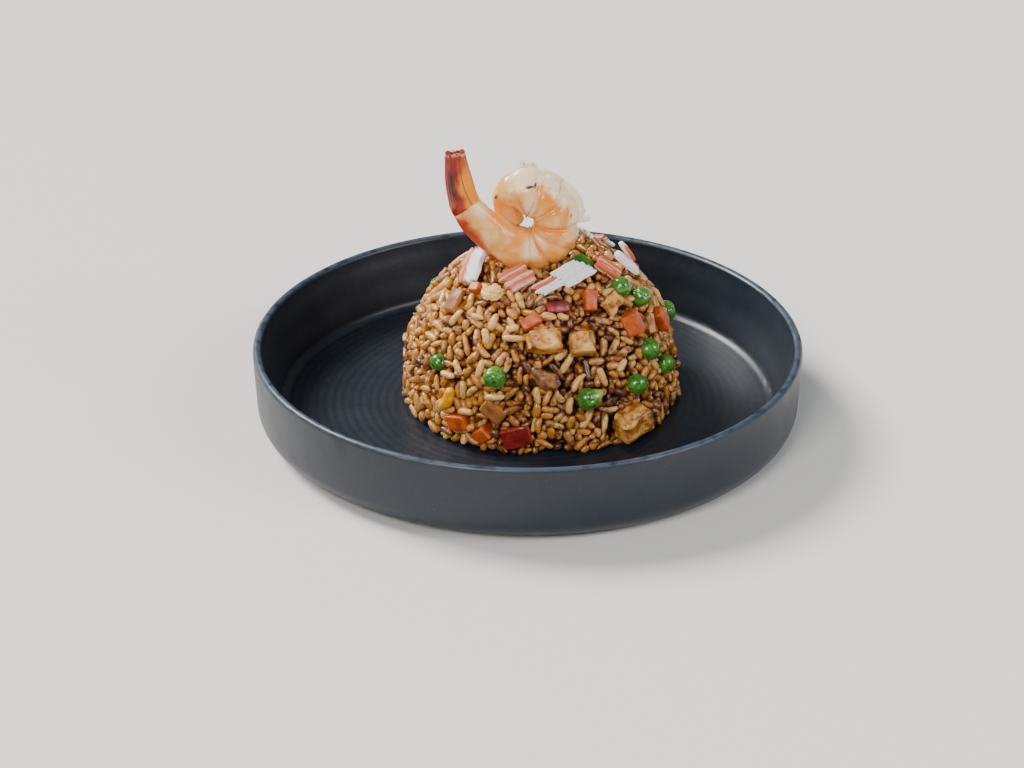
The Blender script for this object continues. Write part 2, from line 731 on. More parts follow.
def spread_grains(name, model, middles, ways, halves, radii, fresh, chosen, draw):
    """One mesh of a grain copied to each chosen place, with its own length, bend and colour values."""
    base = corners(model) * MM
    loops = [list(face.vertices) for face in model.data.polygons]
    count = len(chosen)
    u = ways[chosen]
    v = unit(np.cross(u, unit(draw.normal(size=(count, 3)))))
    w = np.cross(u, v)
    half = (halves[chosen] + radii[chosen] * 0.92)[:, None]
    wide, thick = radii[chosen][:, None] * 1.05, radii[chosen][:, None] * 0.93
    bow = draw.normal(0, 0.15, (count, 1))
    x, y, z = base.T
    along, across, deep = half * x, wide * y, thick * z + half * bow * (x * x - 0.4)
    points = middles[chosen][:, None]
    for far, way in ((along, u), (across, v), (deep, w)):
        points = points + far[..., None] * way[:, None]
    points = points.reshape(-1, 3)
    points += np.column_stack([wobble(points, 1.7, seed) for seed in (1, 2, 3)]) * 0.3
    points[:, 2] = np.maximum(points[:, 2], LOWEST)
    mesh = bpy.data.meshes.new(name)
    flat = [[k * len(base) + corner for corner in loop] for k in range(count) for loop in loops]
    mesh.from_pydata((points * MM).tolist(), [], flat)
    piece = bpy.data.objects.new(name, mesh)
    bpy.context.scene.collection.objects.link(piece)
    each = np.repeat(np.arange(count), len(base))
    spots = middles[chosen] - MOUND_PLACE
    soaked = wobble(spots, 9, 3) * 0.6 + wobble(spots, 3.5, 5) * 0.25 + draw.normal(0, 0.16, count)
    facing = np.degrees(np.arctan2(spots[:, 0], -spots[:, 1]))
    left = ease(-15, -75, facing) * ease(-178, -150, facing)
    sunk = np.clip(mound_reach(unit(spots)) - np.linalg.norm(spots, axis=1), 0, 9)
    for heading, climb, spread, rise in UNEVEN:
        if rise < -2.2:
            apart = np.degrees(np.arccos(np.clip(unit(spots) @ way_to(heading, climb), -1, 1)))
            soaked = soaked + 0.55 * bell(0, spread * 1.5, apart)
    soaked = 0.42 + soaked * 0.66 + 0.07 * np.maximum(sunk - 1.6, 0) - 0.12 * left
    soaked = soaked - 0.42 * (draw.random(count) < 0.12) + 0.3 * (draw.random(count) < 0.12)
    fresh = fresh[chosen]
    paint(piece, "soaked", np.clip(soaked * (1 - 0.6 * fresh), 0, 1)[each])
    paint(piece, "pale", np.maximum(draw.random(count), 0.9 * fresh)[each])
    paint(piece, "left", (left * (1 - 0.7 * fresh))[each])
    paint(piece, "tip", np.tile(np.abs(x), count))
    return piece


def rice_core(u, v):
    """The soaked core's surface, for columns round the mound and rows up it."""
    climb, turn = radians(90) * v, 2 * pi * u
    ways = np.column_stack([np.cos(climb) * np.sin(turn), -np.cos(climb) * np.cos(turn), np.sin(climb)])
    return mound_point(ways, -CORE_DEPTH) + MOUND_PLACE


def fried_rice_finish(rice):
    finish = Finish("fried_rice_grains")
    soaked, pale, left, tip = (finish.painted(name) for name in ("soaked", "pale", "left", "tip"))
    stain = finish.noise(2.1, 4)
    fleck = finish.noise(0.55, 3)
    take = soaked + (stain - 0.5) * 1.5 + tip.rise(0.5, 1) * 0.16
    gold = finish.mix((pale + (stain - 0.5) * 0.6).rise(0.25, 0.95), tuple(rice.golden), tuple(rice.pale))
    warm = finish.mix(left * 0.42, gold, (0.6, 0.26, 0.02))
    shade = finish.mix(take.rise(0.3, 0.82), warm, tuple(rice.brown))
    shade = finish.mix((take + (fleck - 0.5) * 0.6).rise(0.72, 1.1) * 0.85, shade, tuple(rice.sauce))
    rough = finish.bump(finish.noise(1.2, 4), 0.5)
    return finish.surface(
        Base_Color=shade,
        Roughness=fleck * 0.3 + 0.2,
        Normal=finish.bump(fleck, 0.1, rough),
        Specular_IOR_Level=0.6, **moist(0.12, (1.0, 0.5, 0.22), 1.2, 0.45, 0.13),
    )


def sauce_finish(rice):
    finish = Finish("soaked_rice_core")
    lumps = finish.cells(2.6)
    shade = finish.mix(finish.noise(4, 4).rise(0.35, 0.68), tuple(rice.sauce), tuple(rice.brown))
    return finish.surface(
        Base_Color=finish.mix(lumps.rise(0.2, 0.75) * 0.6, shade, tuple(rice.sauce)),
        Roughness=finish.noise(1.5, 2) * 0.3 + 0.2,
        Normal=finish.bump(1 - lumps, 0.9),
        Specular_IOR_Level=0.5,
    )


class FRIEDRICE_OT_rice(bpy.types.Operator):
    """Pack the dome with single grains over a core that has soaked up the sauce"""

    bl_idname = "fried_rice.rice"
    bl_label = "Rice"

    def execute(self, context):
        rice = settings_of("rice_grains")
        draw = np.random.default_rng(21)
        grains = with_laid(rice, *settled(rice, draw))
        spots = grains[0] - MOUND_PLACE
        sunk = mound_reach(unit(spots)) - np.linalg.norm(spots, axis=1)
        fine, coarse = grain_mesh("grain_model", 8, 8), grain_mesh("inner_grain_model", 7, 6)
        finish = fried_rice_finish(rice)
        outer, inner = np.split(np.argsort(sunk), [OUTER_GRAINS])
        for name, model, chosen in (("rice_grains", fine, outer), ("rice_grains_below", coarse, inner)):
            serve(spread_grains(name, model, *grains, chosen, draw), finish, "rice")
            bpy.data.objects.remove(model)
        core = sheet("soaked_rice_core", 120, 48, rice_core)
        base = Vector(MOUND_PLACE * MM)
        with Shaping(core, "EDGE") as edit:
            edit.choose(lambda edge: all(abs(vertex.co.z - base.z) < 1e-5 for vertex in edge.verts))
            bpy.ops.mesh.extrude_region_move()
            bpy.ops.transform.resize(value=(0, 0, 1), center_override=base)
        close_up(core, 0.02)
        bumps = corners(core)
        swell(core, 1.1 * wobble(bumps, 3.4) * ease(5.3, 7, bumps[:, 2]))
        serve(core, sauce_finish(rice), "rice")
        return {"FINISHED"}


# Pieces in the rice: node; heading, climb, lift, lean, roll and spin on the mound; sizes in millimetres

PEAS = [
    # after the radius: how far a pointed end stands out
    ("pea_1", (-20, 31, 1.2), 4.2, 0),
    ("pea_2", (18.5, 23.5, 2.6, 0, 0, -30), 4.2, 1.6),
    ("pea_3", (44, 24, 1.6), 4.0, 0),
    ("pea_4", (57, 33, 1.2), 4.2, 0),
    ("pea_5", (68, 23, 1), 3.8, 0),
    ("pea_6", (60, 57, 1.2), 3.8, 0),
    ("pea_7", (70, 50, 1.4), 3.8, 0),
    ("pea_8", (-53, 29, -2), 3.4, 0),
    ("pea_9", (104, 30, 1), 4.2, 0),
    ("pea_10", (152, 16, 1.2), 4.2, 0),
    ("pea_11", (168, 47, 1.4), 3.9, 0),
    ("pea_12", (-118, 38, -2), 4.2, 0),
]
CARROTS = [
    ("carrot_1", (34, 58, 0.4, 10, 0, 62), (9, 5, 6)),
    ("carrot_2", (53, 44.5, 0.8, 0, 22, 8), (7.5, 9.5, 7)),
    ("carrot_3", (-6, 52, -0.8, 0, 0, 32), (8, 5, 5)),
    ("carrot_4", (82, 37, 0, 0, 0, 20), (7, 9, 6)),
    ("carrot_5", (-35, 10.5, -0.4, 0, 0, 15), (9, 6.5, 7)),
    ("carrot_6", (-24, 7.5, -0.6, 0, 0, 40), (6.5, 6, 7)),
    ("carrot_7", (-51, 59.5, -0.2, 0, 0, 20), (5, 4, 5)),
    ("carrot_8", (128, 42, 0.2, 0, 0, 30), (8, 7, 6)),
    ("carrot_9", (-155, 24, 0, 0, 0, 12), (8.5, 7, 7)),
]
CHICKEN = [
    # the last number is how brown the piece was fried
    ("chicken_1", (1, 45, 0.6, -8, 0, 6), (13.5, 9, 8), 0.2),
    ("chicken_2", (20, 42.5, 1.6, 6, 0, -4), (11, 10, 8), 0.25),
    ("chicken_3", (40, 8.5, 0, 8, 0, 12), (16.5, 11, 12), 0.4),
    ("chicken_4", (47, 54, -0.6, 0, 0, 20), (9, 7, 6), 0.35),
    ("chicken_5", (68, 40, -0.8, 0, 0, 70), (10.5, 6, 6), 0.5),
    ("chicken_6", (2, 31.5, -0.8, 0, 0, -12), (13, 7, 7), 0.95),
    ("chicken_7", (118, 14, 0.2, 0, 0, 12), (13, 10, 9), 0.3),
    ("chicken_8", (-170, 36, 0.2, 0, 0, 40), (12, 9, 8), 0.4),
    ("chicken_9", (-130, 12, 0, 0, 0, -20), (12, 9, 9), 0.3),
]
STRIPS = [
    # the last number is how far the strip curls up, as a share of its length
    ("red_pepper_1", (-10, 8.5, 1, -8, 0, 18), (11.5, 8, 3), 0.16),
    ("red_pepper_2", (11, 58, -0.4, 0, 0, 8), (9, 4.5, 2.5), 0.1),
    ("red_pepper_3", (-148, 40, 0.6, 0, 0, 30), (11, 7, 2.6), 0.14),
    ("green_pepper", (49, 73, -0.2, 10, 0, 4), (12, 7, 2.4), 0.1),
    ("onion_1", (-59, 52, 0.4, 0, 0, -70), (10, 6.5, 2.4), 0.14),
    ("onion_2", (-20, 18, 0.5, 0, 0, -35), (9.5, 6, 2.2), 0.12),
]
KERNELS = [
    # after the place: length along the bend, and width
    ("corn_1", (-42, 18.5, 0.6, 0, 0, -116), 10, 4.4),
    ("corn_2", (135, 27, 0.6, 0, 0, 40), 8, 4.6),
]
EGG_PLACE, EGG_SIZE = (-35, 60, 0.8, 0, 0, 20), 7.5
STRAND = 0.72  # width of a strand of crab stick
SUNK = 0.7  # how much lower each flake of crab stick lies, on the grains themselves
FLAKES = [
    # after the size: fibres, skew, bend, and where the orange skin starts and ends across the flake
    ("crab_flake_1", (-69, 64.5, 3.2, 26, 0, -62), (15, 10, 1.9), 5, 0, 0.16, (0.25, 1.2)),
    ("crab_flake_2", (-98, 73, 1.1, 14, 0, 40), (6.5, 5, 1.8), 3, 0, 0, (2, 3)),
    ("crab_flake_3", (-21, 67.5, 2.4, 22, 0, 40), (12.5, 8.5, 2), 5, 0.2, 0, (-1.2, 1.1)),
    ("crab_flake_4", (5, 65, 2, 20, 0, 28), (11, 5, 1.9), 3, 0.4, 0, (-1.2, -0.2)),
    ("crab_flake_5", (30, 68.5, 2.6, 24, 0, 14), (14.5, 8, 1.9), 4, 0.3, 0, (2, 3)),
    ("crab_flake_6", (65, 64.5, 2.2, 18, 0, -66), (12.5, 5, 2.4), 3, 0, 0, (-1.2, 1.2)),
    ("crab_flake_7", (88, 60, 2.2, 10, 0, -84), (14, 3.2, 2.6), 2, 0, 0, (2, 3)),
    ("crab_flake_8", (120, 70, 3, 30, 0, -70), (9.5, 8, 1.8), 4, 0, 0, (0.75, 1.2)),
    ("crab_flake_9", (106, 58, 3.4, 20, 0, -80), (12, 4, 2.2), 3, 0, 0, (0.5, 1.2)),
    ("crab_flake_10", (133, 58, 2.4, 12, 0, -30), (11, 6, 1.8), 3, 0, 0, (-1.2, 0)),
    ("crab_flake_11", (172, 63, 2, 14, 0, 20), (13, 8, 1.9), 4, 0.2, 0, (-1.2, 0.9)),
    ("crab_flake_12", (-148, 64, 2, 12, 0, -34), (12, 7, 1.9), 4, 0, 0, (0.2, 1.2)),
]


def settle(piece, place):
    """Takes a piece that was shaped at the origin to its place."""
    piece.data.transform(place)
    piece.data.update()


def pea_finish(pieces):
    finish = Finish("garden_pea")
    blotch, freckle = finish.noise(2.6, 4), finish.noise(0.5, 2)
    dent = finish.painted("dent")
    shade = finish.mix(blotch.rise(0.35, 0.65), tuple(pieces.pea), (0.075, 0.26, 0.022))
    shade = finish.mix(dent * 0.8, shade, (0.02, 0.095, 0.008))
    shade = finish.mix(finish.painted("beak"), shade, (0.42, 0.5, 0.09))
    return finish.surface(
        Base_Color=finish.mix(freckle.rise(0.6, 0.75) * 0.35, shade, (0.3, 0.5, 0.1)),
        Roughness=blotch * 0.2 + 0.12,
        Normal=finish.bump(freckle, 0.03, finish.bump(finish.noise(1.3, 3), 0.14)),
        **moist(0.22, (0.4, 1.0, 0.2), 1.4, 0.5, 0.1),
    )


class FRIEDRICE_OT_peas(bpy.types.Operator):
    """Round the peas, wrinkle their skins and press them into the rice"""

    bl_idname = "fried_rice.peas"
    bl_label = "Peas"

    def execute(self, context):
        pieces = settings_of("rice_pieces")
        finish = pea_finish(pieces)
        for seed, (node, place, radius, beak) in enumerate(PEAS):
            radius *= pieces.pea_radius / MM / PEA_RADIUS
            deselect()
            bpy.ops.mesh.primitive_ico_sphere_add(subdivisions=5, radius=radius * MM, scale=(1, 0.95, 0.92))
            bpy.ops.object.transform_apply(location=False, rotation=False, scale=True)
            piece = started(f"garden_{node}")
            skin = corners(piece)
            ways = unit(skin)
            tip = unit(np.array([0.55, 0.75, 0.3]))
            pointed = np.clip(ways @ tip - 0.7, 0, 1) / 0.3 * (beak > 0)
            fold = np.maximum(0, 1 - 5 * np.abs(wobble(skin, 2.6, seed)))
            fold = fold * ease(-0.35, 0.15, wobble(skin, 4, seed + 40))
            scar = bell(1, 0.02, ways @ unit(np.array([0.3, -0.4, 0.87])))
            lay(piece, skin + beak * (pointed ** 1.5)[:, None] * tip)
            swell(piece, 0.3 * wobble(skin, 3.4, seed + 9) - 0.34 * fold - 0.3 * scar)
            paint(piece, "dent", np.clip(fold * 0.8 + scar, 0, 1))
            paint(piece, "beak", pointed ** 0.8)
            settle(piece, on_mound(*place))
            serve(piece, finish, node)
        return {"FINISHED"}


def carrot_finish(pieces):
    finish = Finish("diced_carrot")
    rays = finish.noise(0.5, 3, finish.place((1, 1, 0.14)))
    cloud = finish.noise(3.2, 4)
    shade = finish.mix(cloud.rise(0.38, 0.64), (0.42, 0.052, 0.006), tuple(pieces.carrot))
    shade = finish.mix(rays.rise(0.5, 0.72) * 0.45, shade, (0.76, 0.2, 0.02))
    browned = finish.painted("rim") * cloud.rise(0.5, 0.7)
    return finish.surface(
        Base_Color=finish.mix(browned * 0.8, shade, (0.13, 0.02, 0.004)),
        Roughness=cloud * 0.25 + 0.32,
        Normal=finish.bump(rays, 0.14, finish.bump(cloud, 0.25)),
        **moist(0.15, (1.0, 0.35, 0.1), 1.4, 0.15, 0.25),
    )


def rims(points):
    """How near each point of a block lies to its edges, from 0 to 1."""
    share = np.sort(np.abs(points) / np.abs(points).max(axis=0), axis=1)
    return ease(0.72, 0.98, share[:, 1])


class FRIEDRICE_OT_carrots(bpy.types.Operator):
    """Dice the carrot, soften its edges and press it into the rice"""

    bl_idname = "fried_rice.carrots"
    bl_label = "Carrots"

    def execute(self, context):
        finish = carrot_finish(settings_of("rice_pieces"))
        for seed, (node, place, size) in enumerate(CARROTS):
            piece = block(f"diced_{node}", size, 6, 0.12 * min(size), seed + 60, 0.26)
            subdivided(piece)
            shape = corners(piece)
            worn = 0.1 * rims(shape) * (1 + wobble(shape, 1.5, seed + 7))
            swell(piece, 0.3 * wobble(shape, 3, seed) - worn)
            paint(piece, "rim", rims(shape))
            settle(piece, on_mound(*place))
            serve(piece, finish, node)
        return {"FINISHED"}


def chicken_finish(pieces):
    finish = Finish("fried_chicken_breast")
    fibre = finish.painted("fibre")
    grain = finish.noise(0.55, 3, finish.place((0.3, 1, 1)))
    cloud, mottle = finish.noise(3.6, 4), finish.noise(1.0, 3)
    shade = finish.mix(cloud.rise(0.4, 0.6), tuple(pieces.chicken), (0.55, 0.21, 0.025))
    shade = finish.mix(fibre.rise(0.4, 0.95) * 0.3, shade, (0.55, 0.25, 0.05))
    seared = finish.painted("rim") * 0.4 + (cloud - 0.5) * 2.2 + (mottle - 0.5) * 0.9
    seared = seared + finish.painted("fried") * 0.95 + 0.12
    shade = finish.mix(seared.rise(0.32, 0.8) * 0.9, shade, tuple(pieces.seared))
    shade = finish.mix((seared + (grain - 0.5) * 0.4).rise(0.9, 1.25) * 0.8, shade, (0.04, 0.01, 0.003))
    return finish.surface(
        Base_Color=shade,
        Roughness=mottle * 0.3 + 0.26,
        Normal=finish.bump(grain, 0.12, finish.bump(cloud + mottle * 0.5, 0.3)),
        **moist(0.18, (1.0, 0.6, 0.3), 1.5, 0.25, 0.22),
    )


class FRIEDRICE_OT_chicken(bpy.types.Operator):
    """Cut the chicken into chunks with torn fibres and browned edges"""

    bl_idname = "fried_rice.chicken"
    bl_label = "Chicken"

    def execute(self, context):
        finish = chicken_finish(settings_of("rice_pieces"))
        for seed, (node, place, size, fried) in enumerate(CHICKEN):
            draw = np.random.default_rng(seed + 300)
            piece = block(f"fried_{node}", size, 9, 0.16 * min(size), seed + 80, 0.22)
            subdivided(piece)
            shape = corners(piece)
            long_way = shape * np.array([0.22, 1, 1])
            fibre = np.abs(wobble(long_way, 1.3, seed))
            tear = np.maximum(0, 1 - 8 * np.abs(wobble(long_way, 4.4, seed + 20)))
            tear = tear * ease(-0.1, 0.35, wobble(shape, 5, seed + 33))
            for _ in range(5):
                way = unit(draw.normal(size=3))
                past = shape @ way - (0.66 + 0.2 * draw.random()) * (shape @ way).max()
                shape = shape - np.outer(np.maximum(past, 0), way)
            lay(piece, shape + 0.7 * np.column_stack([wobble(shape, 6, seed + k) for k in (50, 60, 70)]))
            rise = 0.5 * wobble(shape, 3.4, seed + 5) - 0.25 * rims(shape)
            swell(piece, rise + 0.2 * fibre - 0.4 * tear - 0.1)
            paint(piece, "rim", rims(shape))
            paint(piece, "fibre", np.clip(tear + 0.6 * (1 - 3 * fibre), 0, 1))
            paint(piece, "fried", np.full(len(shape), fried))
            settle(piece, on_mound(*place))
            serve(piece, finish, node)
        return {"FINISHED"}


def wall_finish(name, skin, flesh, sheen, brown=0.0):
    """A strip of vegetable with skin on its outer side."""
    finish = Finish(name)
    outside, cloud, fine = finish.painted("skin"), finish.noise(3.2, 4), finish.noise(0.6, 3)
    deep = tuple(0.45 * part for part in skin)
    shade = finish.mix(cloud.rise(0.36, 0.66), deep, skin)
    shade = finish.mix(outside.rise(0.2, 0.7), finish.mix(fine.rise(0.4, 0.6), flesh, skin), shade)
    browned = (cloud + fine * 0.4 + finish.painted("rim") * 0.22).rise(0.72, 0.95) * brown
    return finish.surface(
        Base_Color=finish.mix(browned, shade, (0.1, 0.022, 0.005)),
        Roughness=cloud * 0.2 + sheen,
        Normal=finish.bump(fine, 0.04, finish.bump(cloud, 0.2)),
        **moist(0.12, (1.0, 0.5, 0.25), 1.2, 0.22, 0.14),
    )


class FRIEDRICE_OT_strips(bpy.types.Operator):
    """Cut and curl the strips of pepper and onion"""

    bl_idname = "fried_rice.strips"
    bl_label = "Pepper and onion"

    def execute(self, context):
        pieces = settings_of("rice_pieces")
        finishes = {
            "red_pepper": wall_finish("red_pepper", tuple(pieces.red_pepper), (0.5, 0.05, 0.015), 0.32),
            "green_pepper": wall_finish("green_pepper", tuple(pieces.green_pepper), (0.28, 0.36, 0.05), 0.2),
            "onion": wall_finish("browned_onion", tuple(pieces.onion), (0.46, 0.17, 0.02), 0.55, 0.9),
        }
        for seed, (node, place, size, curve) in enumerate(STRIPS):
            slot = node.rstrip("_123")
            piece = block(f"strip_of_{node}", size, 8, 0.24 * size[2], seed + 30)
            subdivided(piece)
            flat = corners(piece)
            paint(piece, "skin", ease(0.25, 0.7, outwards(piece)[:, 2]))
            paint(piece, "rim", rims(flat))
            u = flat[:, 0] / size[0]
            curl = curve * u * u * size[0] + 0.5 * (flat[:, 1] / size[1]) ** 2
            jagged = 0.45 * wobble(flat * np.array([1, 1, 0.1]), 3.5, seed) * rims(flat)
            sides = unit(flat * np.array([1, 1, 0]))
            narrowed = flat * np.column_stack([0 * u + 1, 1 - 0.25 * u * u, 0 * u + 1])
            lay(piece, narrowed - np.outer(curl, (0, 0, 1)) + sides * jagged[:, None])
            swell(piece, 0.16 * wobble(flat, 2.6, seed + 3))
            settle(piece, on_mound(*place))
            serve(piece, finishes[slot], node)
        return {"FINISHED"}


def corn_finish(pieces):
    finish = Finish("sweet_corn")
    cloud, end = finish.noise(2.4, 3), finish.painted("end")
    shade = finish.mix(cloud.rise(0.38, 0.62), (0.78, 0.3, 0.003), tuple(pieces.corn))
    return finish.surface(
        Base_Color=finish.mix(end, shade, (0.62, 0.33, 0.05)),
        Roughness=cloud * 0.15 + 0.16,
        Normal=finish.bump(finish.noise(0.9, 3), 0.05),
        **moist(0.12, (1.0, 0.6, 0.1), 1.6, 0.3, 0.1),
    )


def egg_finish(pieces):
    finish = Finish("scrambled_egg")
    cloud, fine = finish.noise(2.2, 5), finish.noise(0.7, 3)
    shade = finish.mix(cloud.rise(0.38, 0.62), (0.85, 0.48, 0.1), tuple(pieces.egg))
    return finish.surface(
        Base_Color=finish.mix((cloud + fine * 0.5).rise(0.86, 1.05) * 0.8, shade, (0.4, 0.14, 0.025)),
        Roughness=fine * 0.25 + 0.28,
        Normal=finish.bump(fine, 0.1, finish.bump(cloud, 0.4)),
        **moist(0.3, (1.0, 0.7, 0.3), 2, 0.25, 0.2),
    )


class FRIEDRICE_OT_corn_and_egg(bpy.types.Operator):
    """Bend the kernels of sweet corn and curdle the egg"""

    bl_idname = "fried_rice.corn_and_egg"
    bl_label = "Corn and egg"

    def execute(self, context):
        pieces = settings_of("rice_pieces")
        finish = corn_finish(pieces)
        for seed, (node, place, long, width) in enumerate(KERNELS):
            piece = ball_along(f"sweet_{node}", 32, 40)
            ball = of_each(piece, "co")
            turn = radians(70) * ball[:, 0] / 2
            bend_radius = long / radians(70)
            fat = width / 2 * (np.maximum(1 - ball[:, 0] ** 2, 0)) ** 0.3
            ring = unit(ball[:, 1:]) * fat[:, None]
            dent = 0.2 * bell(-0.4 * width, 0.8, ring[:, 0])
            x = (bend_radius + ring[:, 0]) * np.sin(turn)
            y = (bend_radius + ring[:, 0]) * np.cos(turn) - bend_radius + 1
            lay(piece, np.column_stack([x, y, ring[:, 1] * (1 - dent)]))
            swell(piece, 0.12 * wobble(corners(piece), 2.4, seed))
            paint(piece, "end", ease(0.84, 1, ball[:, 0]))
            settle(piece, on_mound(*place))
            serve(piece, finish, node)

        deselect()
        bpy.ops.mesh.primitive_ico_sphere_add(subdivisions=6, radius=1)
        egg = started("scrambled_egg")
        ball = of_each(egg, "co")
        curds = 0.17 * wobble(ball, 0.8, 2) + 0.05 * wobble(ball, 0.2, 6)
        curds = curds + 0.15 * np.abs(wobble(ball, 0.42, 4))
        lay(egg, ball * (EGG_SIZE * (0.42 + curds))[:, None] * np.array([1.08, 0.86, 0.74]))
        settle(egg, on_mound(*EGG_PLACE))
        serve(egg, egg_finish(pieces), "egg")
        return {"FINISHED"}


def crab_finish(pieces):
    finish = Finish("crab_stick_flake")
    skin, strand = finish.painted("skin"), finish.painted("strand")
    streak = finish.noise(0.6, 3, finish.uv((2, 22, 1)))
    cloud = finish.noise(2.5, 4)
    shade = finish.mix(strand.rise(0.55, 1) * 0.35, tuple(pieces.crab), (0.72, 0.67, 0.68))
    blush = skin * (cloud * 0.8 + strand * 0.35 + 0.35)
    shade = finish.mix(blush.rise(0.12, 0.5) * 0.75, shade, (0.86, 0.36, 0.2))
    shade = finish.mix((blush + (strand - 0.5) * 0.5).rise(0.62, 0.95), shade, tuple(pieces.crab_skin))
    return finish.surface(
        Base_Color=shade,
        Roughness=cloud * 0.2 + 0.3,
        Normal=finish.bump(streak, 0.05, finish.bump(cloud, 0.15)),
        **moist(0.3, (1.0, 0.7, 0.6), 1.8, 0.2, 0.2),
    )


def strand_model():
    """A bar that is 1 long, wide and thick, with soft edges, from which the strands are copied."""
    deselect()
    bpy.ops.mesh.primitive_cube_add(size=1)
    model = started("strand_model")
    with Shaping(model) as edit:
        edit.all()
        bpy.ops.mesh.bevel(offset=0.2, segments=2, affect="EDGES")
        edit.all()
        bpy.ops.mesh.subdivide(number_cuts=2)
    subdivided(model)
    return model


class FRIEDRICE_OT_crab_sticks(bpy.types.Operator):
    """Lay the strands of each flake of crab stick side by side with stepping ends"""

    bl_idname = "fried_rice.crab_sticks"
    bl_label = "Crab stick flakes"

    def execute(self, context):
        finish = crab_finish(settings_of("rice_pieces"))
        for seed, (node, place, size, fibres, skew, bend, skin) in enumerate(FLAKES):
            draw = np.random.default_rng(seed + 200)
            long, wide, thick = size
            count = max(4, round(wide / STRAND))
            step = np.repeat(draw.random((fibres, 2)) * 1.9, ceil(count / fibres), axis=0)[:count]
            strands, red, depth = [], [], []
            model = strand_model()
            bar = of_each(model, "co")
            pitch = wide / count
            for k in range(count):
                share = (k + 0.5) / count
                y = (0.5 - share) * wide
                reach = [long / 2 - step[k, end] - 0.6 * draw.random() ** 2 for end in (0, 1)]
                slope = skew * (share - 0.5) * long
                x = slope + np.where(bar[:, 0] > 0, reach[1], reach[0]) * 2 * bar[:, 0]
                sway = 0.12 * np.sin(x * 0.9 + draw.random() * 6)
                high = thick * (0.86 + 0.2 * draw.random())
                sag = bend * (x / long) ** 2 * long
                sag = sag + 0.25 * wobble(np.column_stack([x, 0 * x + y, 0 * x]), 5, seed)
                strand = model.copy()
                strand.data = model.data.copy()
                bpy.context.scene.collection.objects.link(strand)
                lay(strand, np.column_stack([x, y + 1.24 * pitch * bar[:, 1] + sway, high * bar[:, 2] - sag]))
                strands.append(strand)
                across = 2 * share - 1
                tint = band(skin[0] - 0.15, skin[0] + 0.15, skin[1] - 0.15, skin[1] + 0.15, across)
                red.append(np.full(len(bar), tint) * ease(-0.3, 0.3, bar[:, 2] + 0.2))
                depth.append(np.full(len(bar), draw.random()))
            bpy.data.objects.remove(model)
            piece = joined(f"{node}_strands", strands)
            paint(piece, "skin", np.concatenate(red))
            paint(piece, "strand", np.concatenate(depth))
            settle(piece, on_mound(*place) @ Matrix.Translation((0, 0, -SUNK * MM)))
            serve(piece, finish, node)
        return {"FINISHED"}


# The prawn, in millimetres from the middle of its curl, seen from the front with X right and Z up

PRAWN_PLACE = np.array([0.2, -5.0, 77.6])
TAIL_SIDE = [
    # x, y, z, half height, half depth
    (-22.6, -1.5, 7.6, 5.2, 4.6), (-17.8, -1.8, 1.5, 6.4, 5.4),
    (-12.3, -1.6, -3.6, 7, 6), (-6.6, -1, -8.2, 7.6, 6.6),
]
CURL_RADIUS, CURL_START, CURL_STEP, CURL_STEPS = 10, -92, 23, 10
HEAD_END = [(-7.3, 4.6, 3.4, 4.7, 4.6), (-5.3, 4.0, -1.2, 4.0, 3.8)]
EYE_LIMIT = 7.4  # how far the body reaches inwards before it is held back from closing the curl's eye
CREASES = [
    # stops from the tail joint, depth as a share of the girth, width in stops
    (1.3, 0.04, 0.16), (2.75, 0.05, 0.16), (4.0, 0.06, 0.15), (5.2, 0.13, 0.17),
    (6.5, 0.04, 0.14), (7.75, 0.14, 0.17), (9.5, 0.12, 0.19), (11.0, 0.12, 0.2), (12.7, 0.05, 0.2),
]


def prawn_stops():
    """Stops along the body: middle, half height and half depth."""
    stops = list(TAIL_SIDE)
    for step in range(CURL_STEPS + 1):
        angle, share = CURL_START + CURL_STEP * step, step / CURL_STEPS
        full, end = ease(0.35, 0.8, share), ease(0.8, 1, share)
        tall, deep = 8.1 + 0.8 * full, 7.2 + 0.5 * full
        x, z = CURL_RADIUS * cos(radians(angle)), CURL_RADIUS * sin(radians(angle)) * (1 + 0.15 * full)
        stops.append((x, 4.5 * share ** 2, z, tall + (5.6 - tall) * end, deep + (5.2 - deep) * end))
    return np.array(stops + HEAD_END, float)


def prawn_spine(shares):
    """Middles, directions ahead, outward sides, depths, half heights and half depths along the body."""
    stops = prawn_stops()
    at = through(stops, shares)
    ahead = unit(through(stops, shares + 0.003)[:, :3] - through(stops, shares - 0.003)[:, :3])
    side = unit(np.cross([0, 1, 0], ahead))
    return at[:, :3], ahead, side, np.cross(ahead, side), at[:, 3:4], at[:, 4:5]


